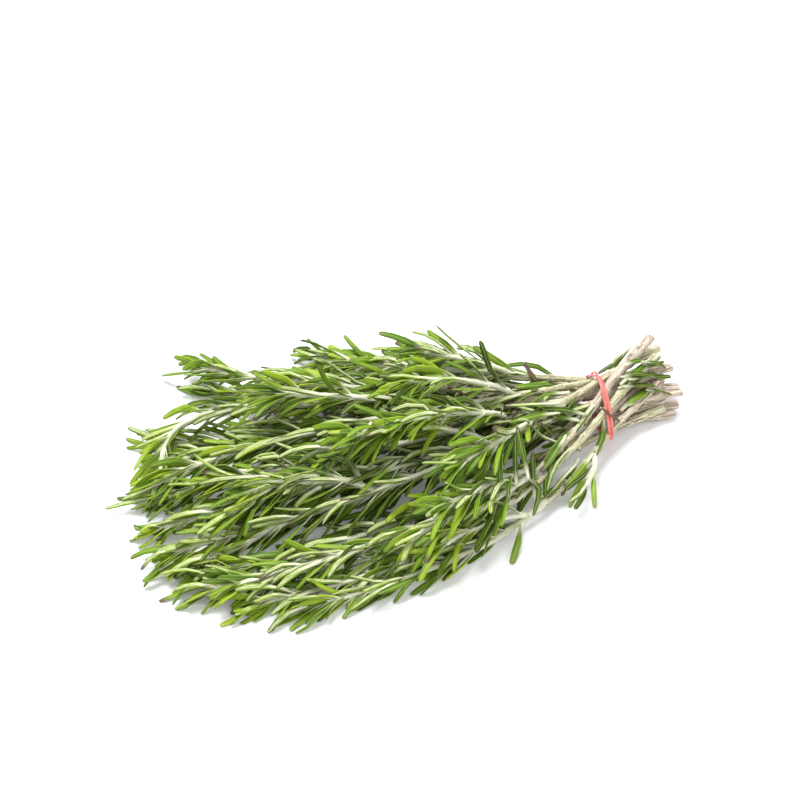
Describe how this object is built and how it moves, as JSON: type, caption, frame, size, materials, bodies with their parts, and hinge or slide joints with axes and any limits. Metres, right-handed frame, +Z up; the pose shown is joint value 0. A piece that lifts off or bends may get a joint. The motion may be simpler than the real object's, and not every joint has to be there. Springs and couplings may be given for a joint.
{
  "type": "rosemary bunch",
  "caption": "Bunch of cut leafy rosemary sprigs, tied near their cut ends with a doubled rubber band and lying on its side.",
  "frame": {"origin": "on the table, under the middle of the bunch's bounding box", "axes": "+X along the bunch towards the cut ends, with the growing tips towards -X; +Z up from the table it lies on"},
  "size_m": [0.2378, 0.1532, 0.048],
  "materials": {
    "bark": "matte",
    "leaf": "satin",
    "rubber": "satin"
  },
  "bodies": {
    "root": {"stem_01": "bark", "stem_02": "bark", "stem_03": "bark", "stem_04": "bark", "stem_05": "bark", "stem_06": "bark", "stem_07": "bark", "stem_08": "bark", "stem_09": "bark", "stem_10": "bark", "stem_11": "bark", "stem_12": "bark", "stem_13": "bark", "stem_14": "bark", "stem_15": "bark", "stem_16": "bark", "stem_17": "bark", "stem_18": "bark", "stem_19": "bark", "shoot_01_a": "leaf", "shoot_01_b": "leaf", "shoot_01_tip": "leaf", "shoot_02_a": "leaf", "shoot_02_tip": "leaf", "shoot_03_a": "leaf", "shoot_03_tip": "leaf", "shoot_04_a": "leaf", "shoot_04_tip": "leaf", "shoot_05_tip": "leaf", "shoot_06_a": "leaf", "shoot_06_b": "leaf", "shoot_06_tip": "leaf", "shoot_07_a": "leaf", "shoot_07_b": "leaf", "shoot_07_tip": "leaf", "shoot_08_a": "leaf", "shoot_08_tip": "leaf", "shoot_09_a": "leaf", "shoot_09_b": "leaf", "shoot_09_tip": "leaf", "shoot_10_a": "leaf", "shoot_10_tip": "leaf", "shoot_11_a": "leaf", "shoot_11_tip": "leaf", "shoot_12_a": "leaf", "shoot_12_tip": "leaf", "shoot_13_tip": "leaf", "shoot_14_a": "leaf", "shoot_14_tip": "leaf", "shoot_15_a": "leaf", "shoot_15_tip": "leaf", "shoot_16_a": "leaf", "shoot_16_tip": "leaf", "shoot_17_a": "leaf", "shoot_17_tip": "leaf", "shoot_18_tip": "leaf", "shoot_19_a": "leaf", "shoot_19_tip": "leaf", "rubber_band": "rubber"}
  },
  "joints": []
}
